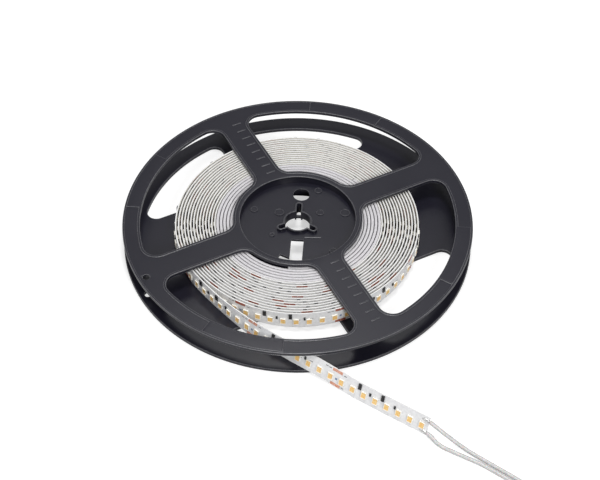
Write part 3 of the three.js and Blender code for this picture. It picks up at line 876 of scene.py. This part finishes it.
def resistor_mesh(kind):
    """One chip, cut near its two ends for their tin."""
    bm = block((kind["along"], kind["across"], kind["height"]))
    bmesh.ops.translate(bm, vec=(0, 0, kind["height"] / 2), verts=bm.verts)
    end = resistor_end * kind["across"]
    for side in (-1, 1):
        whole = bm.verts[:] + bm.edges[:] + bm.faces[:]
        bmesh.ops.bisect_plane(bm, geom=whole, plane_co=(0, side * end, 0), plane_no=(0, 1, 0))
    for face in bm.faces:
        if abs(face.calc_center_median().y) > end:
            face.material_index = 1
    return as_mesh(bm, "resistor")


free_chips, wound_chips = bmesh.new(), bmesh.new()
for kind in resistor_kinds:
    body = resistor_mesh(kind)
    for unit in range(unit_count - 1):
        for at in kind["at"]:
            target = free_chips if unit < free_units else wound_chips
            stamp(target, body, unit_start(unit) + unit_length - at, led_line + kind["offset"])
free_nodes = [f"resistor_{k + 1}" for k in range(12)]
place(free_chips, "free_end_resistors", [chip, dull_tin], free_nodes, "ceramic", 30)
place(wound_chips, "wound_resistors", [chip, dull_tin], [], "ceramic", 30)


# Solder pads: bare copper on both edges of the board, across every line where it may be cut.
# The free end's pads are a lit copy of the copper, and those still in the roll a darker copy that is
# painted shade.
# Painted shade: the pads in the roll are painted darker than the same copper at the free end.
shaded_pad_copper, copper_tree, copper_bsdf = shader("shaded_pad_copper", (0.50, 0.15, 0.10), 0.45, Metallic=0.3)
copper_noise = grain(copper_tree, copper_bsdf, 900, 0.00005, 0.4)
tint(copper_tree, copper_bsdf, copper_noise, (0.36, 0.09, 0.06), (0.56, 0.21, 0.14))
bright_copper, bright_tree, bright_bsdf = shader(
    "bright_pad_copper", (0.74, 0.33, 0.22), 0.4, Metallic=0.2
)
bright_noise = grain(bright_tree, bright_bsdf, 900, 0.00005, 0.4)
tint(bright_tree, bright_bsdf, bright_noise, (0.66, 0.27, 0.17), (0.84, 0.47, 0.35))
pad_size = (2.7, 1.6, 0.06)
pad_edge = 0.95
pad_from_cut = 1.4


def cut_line(unit):
    """The first cut line past the free units is the splice itself."""
    return unit * unit_length + (splice_shift if unit > free_units else 0)


free_pads, wound_pads = bmesh.new(), bmesh.new()
pad_mesh = as_mesh(block(pad_size), "pad")
for unit in range(1, unit_count - 1):
    for across in (pad_edge, strip_width - pad_edge):
        for side in (-pad_from_cut, pad_from_cut):
            target = free_pads if unit < free_units else wound_pads
            stamp(target, pad_mesh, cut_line(unit) + side, across)
place(free_pads, "free_end_pads", [bright_copper], [], "solder", 30)
place(wound_pads, "wound_pads", [shaded_pad_copper], [], "solder", 30)


# Printing: small grey dashes beside the pads and parts, and a blue-grey mark on each cut line.
# It is screen ink on the board's coating.
ink, ink_tree, ink_bsdf = shader("grey_ink", (0.16, 0.16, 0.17), 0.5)
grain(ink_tree, ink_bsdf, 900, 0.00003, 0.3)
blue_ink, blue_tree, blue_bsdf = shader("blue_grey_ink", (0.16, 0.22, 0.34), 0.5)
grain(blue_tree, blue_bsdf, 900, 0.00003, 0.3)
ink_thickness = 0.05
# Each dash is so far past its cut line, and so far across the strip.
dash_places = [
    (4.1, 8.9), (6.0, 8.9), (-4.0, 1.2), (-4.4, 8.6), (14.4, 6.2), (20.6, 5.4), (33.8, 6.1),
]
dash_mesh = as_mesh(block((1.5, 0.4, ink_thickness)), "dash")
mark_mesh = as_mesh(block((1.1, 1.1, ink_thickness)), "mark")
dashes, marks = bmesh.new(), bmesh.new()
for unit in range(1, unit_count - 1):
    stamp(marks, mark_mesh, cut_line(unit), led_line)
    for shift, across in dash_places:
        stamp(dashes, dash_mesh, cut_line(unit) + shift, across)
place(dashes, "printed_dashes", [ink], [], "solder", 30)
place(marks, "cut_marks", [blue_ink], [], "solder", 30)


# Solder joints: a bright blob of solder on each pad at the strip's end.
# It holds a lead's bare end on the pad.
blob_bright, blob_tree, blob_bsdf = shader("solder_bright", (0.84, 0.84, 0.83), 0.32, Metallic=1)
grain(blob_tree, blob_bsdf, 500, 0.0002, 0.4)
blob_size = (1.9, 0.9, 0.8)
blob_from_end = 1.6
blob_edge = 1.7
blob_off = 0.2
blobs = bmesh.new()
for across in (blob_edge, strip_width - blob_edge):
    blob = bmesh.new()
    bmesh.ops.create_uvsphere(blob, u_segments=20, v_segments=12, radius=1)
    bmesh.ops.scale(blob, vec=blob_size, verts=blob.verts)
    blob_place = frame_matrix(strip_frame(blob_from_end), across, half + blob_off)
    bmesh.ops.transform(blob, matrix=blob_place, verts=blob.verts)
    add(blobs, blob)
joint_nodes = ["solder_joint_upper", "solder_joint_lower"]
place(blobs, "solder_joints", [blob_bright], joint_nodes, "solder", 60)


# Studio: a pale floor of paper that glows white to the camera, and soft lamps.
floor_reach = 3
floor_glow = 0.55
world_light = 0.34

sheet = bmesh.new()
bmesh.ops.create_grid(sheet, x_segments=1, y_segments=1, size=floor_reach)
floor = as_mesh(sheet, "floor")
floor_object = bpy.data.objects.new("floor", floor)
bpy.context.collection.objects.link(floor_object)
floor_white, floor_tree, floor_bsdf = shader(
    "floor_paper", (0.6, 0.6, 0.6), 0.8, Specular_IOR_Level=0.1
)
paths = floor_tree.nodes.new("ShaderNodeLightPath")
seen = floor_tree.nodes.new("ShaderNodeMath")
seen.operation = "MAXIMUM"
glow = floor_tree.nodes.new("ShaderNodeMath")
glow.operation = "MULTIPLY"
glow.inputs[1].default_value = floor_glow
floor_tree.links.new(paths.outputs["Is Camera Ray"], seen.inputs[0])
floor_tree.links.new(paths.outputs["Is Transmission Ray"], seen.inputs[1])
floor_tree.links.new(seen.outputs[0], glow.inputs[0])
floor_bsdf.inputs["Emission Color"].default_value = (1, 1, 1, 1)
floor_tree.links.new(glow.outputs[0], floor_bsdf.inputs["Emission Strength"])
floor.materials.append(floor_white)

world = bpy.data.worlds.new("studio")
world.use_nodes = True
background = world.node_tree.nodes["Background"]
background.inputs["Color"].default_value = (1, 1, 1, 1)
background.inputs["Strength"].default_value = world_light
bpy.context.scene.world = world


def softbox(name, at, size, power):
    """A round lamp, turned to the reel."""
    lamp = bpy.data.lights.new(name, "AREA")
    lamp.shape = "DISK"
    lamp.size = size
    lamp.energy = power
    light = bpy.data.objects.new(name, lamp)
    facing = (-Vector(at)).to_track_quat("-Z", "Y").to_matrix().to_4x4()
    light.matrix_world = Matrix.Translation(at) @ facing
    bpy.context.collection.objects.link(light)


softbox("overhead", (0, 0, 1.35), 0.36, 7.2)
softbox("front", (0.42, -0.98, 0.8), 0.35, 8.5)
softbox("back", (0, 0.62, 1.05), 0.3, 0.9)
softbox("left", (-0.9, -0.3, 0.85), 0.25, 1.8)
